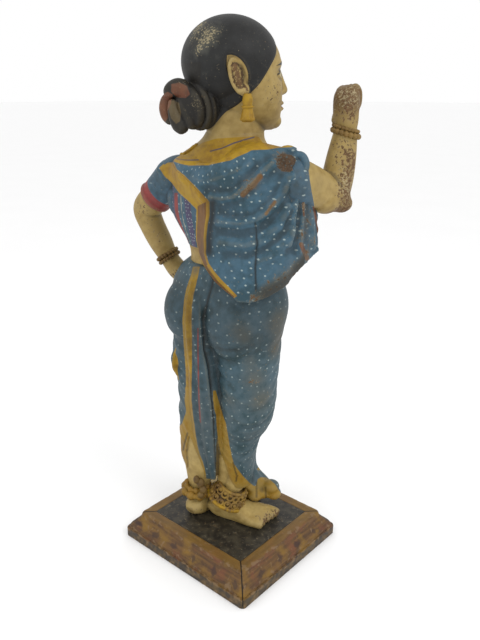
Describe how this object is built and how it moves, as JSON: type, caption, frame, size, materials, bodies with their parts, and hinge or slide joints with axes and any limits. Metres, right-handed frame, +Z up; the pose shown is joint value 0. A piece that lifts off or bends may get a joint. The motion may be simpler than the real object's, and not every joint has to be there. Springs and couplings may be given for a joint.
{
  "type": "attendant statue",
  "caption": "Carved and painted wooden female attendant standing on a moulded plinth, one hand on her hip and the other arm raised.",
  "frame": {"origin": "middle of the plinth's underside", "axes": "+Z up; the figure's body faces -Y, so her right side is at -X and her left side at +X; her head is turned to her right"},
  "size_m": [0.2727, 0.2097, 0.674],
  "materials": {
    "painted_figure": "worn matt paint over carved wood",
    "black_panel": "worn dark paint",
    "painted_moulding": "worn ochre and brown paint under old varnish"
  },
  "bodies": {
    "root": {"attendant_figure": "painted_figure", "plinth_block": "black_panel", "front_moulding": "painted_moulding", "back_moulding": "painted_moulding", "left_moulding": "painted_moulding", "right_moulding": "painted_moulding"}
  },
  "joints": []
}
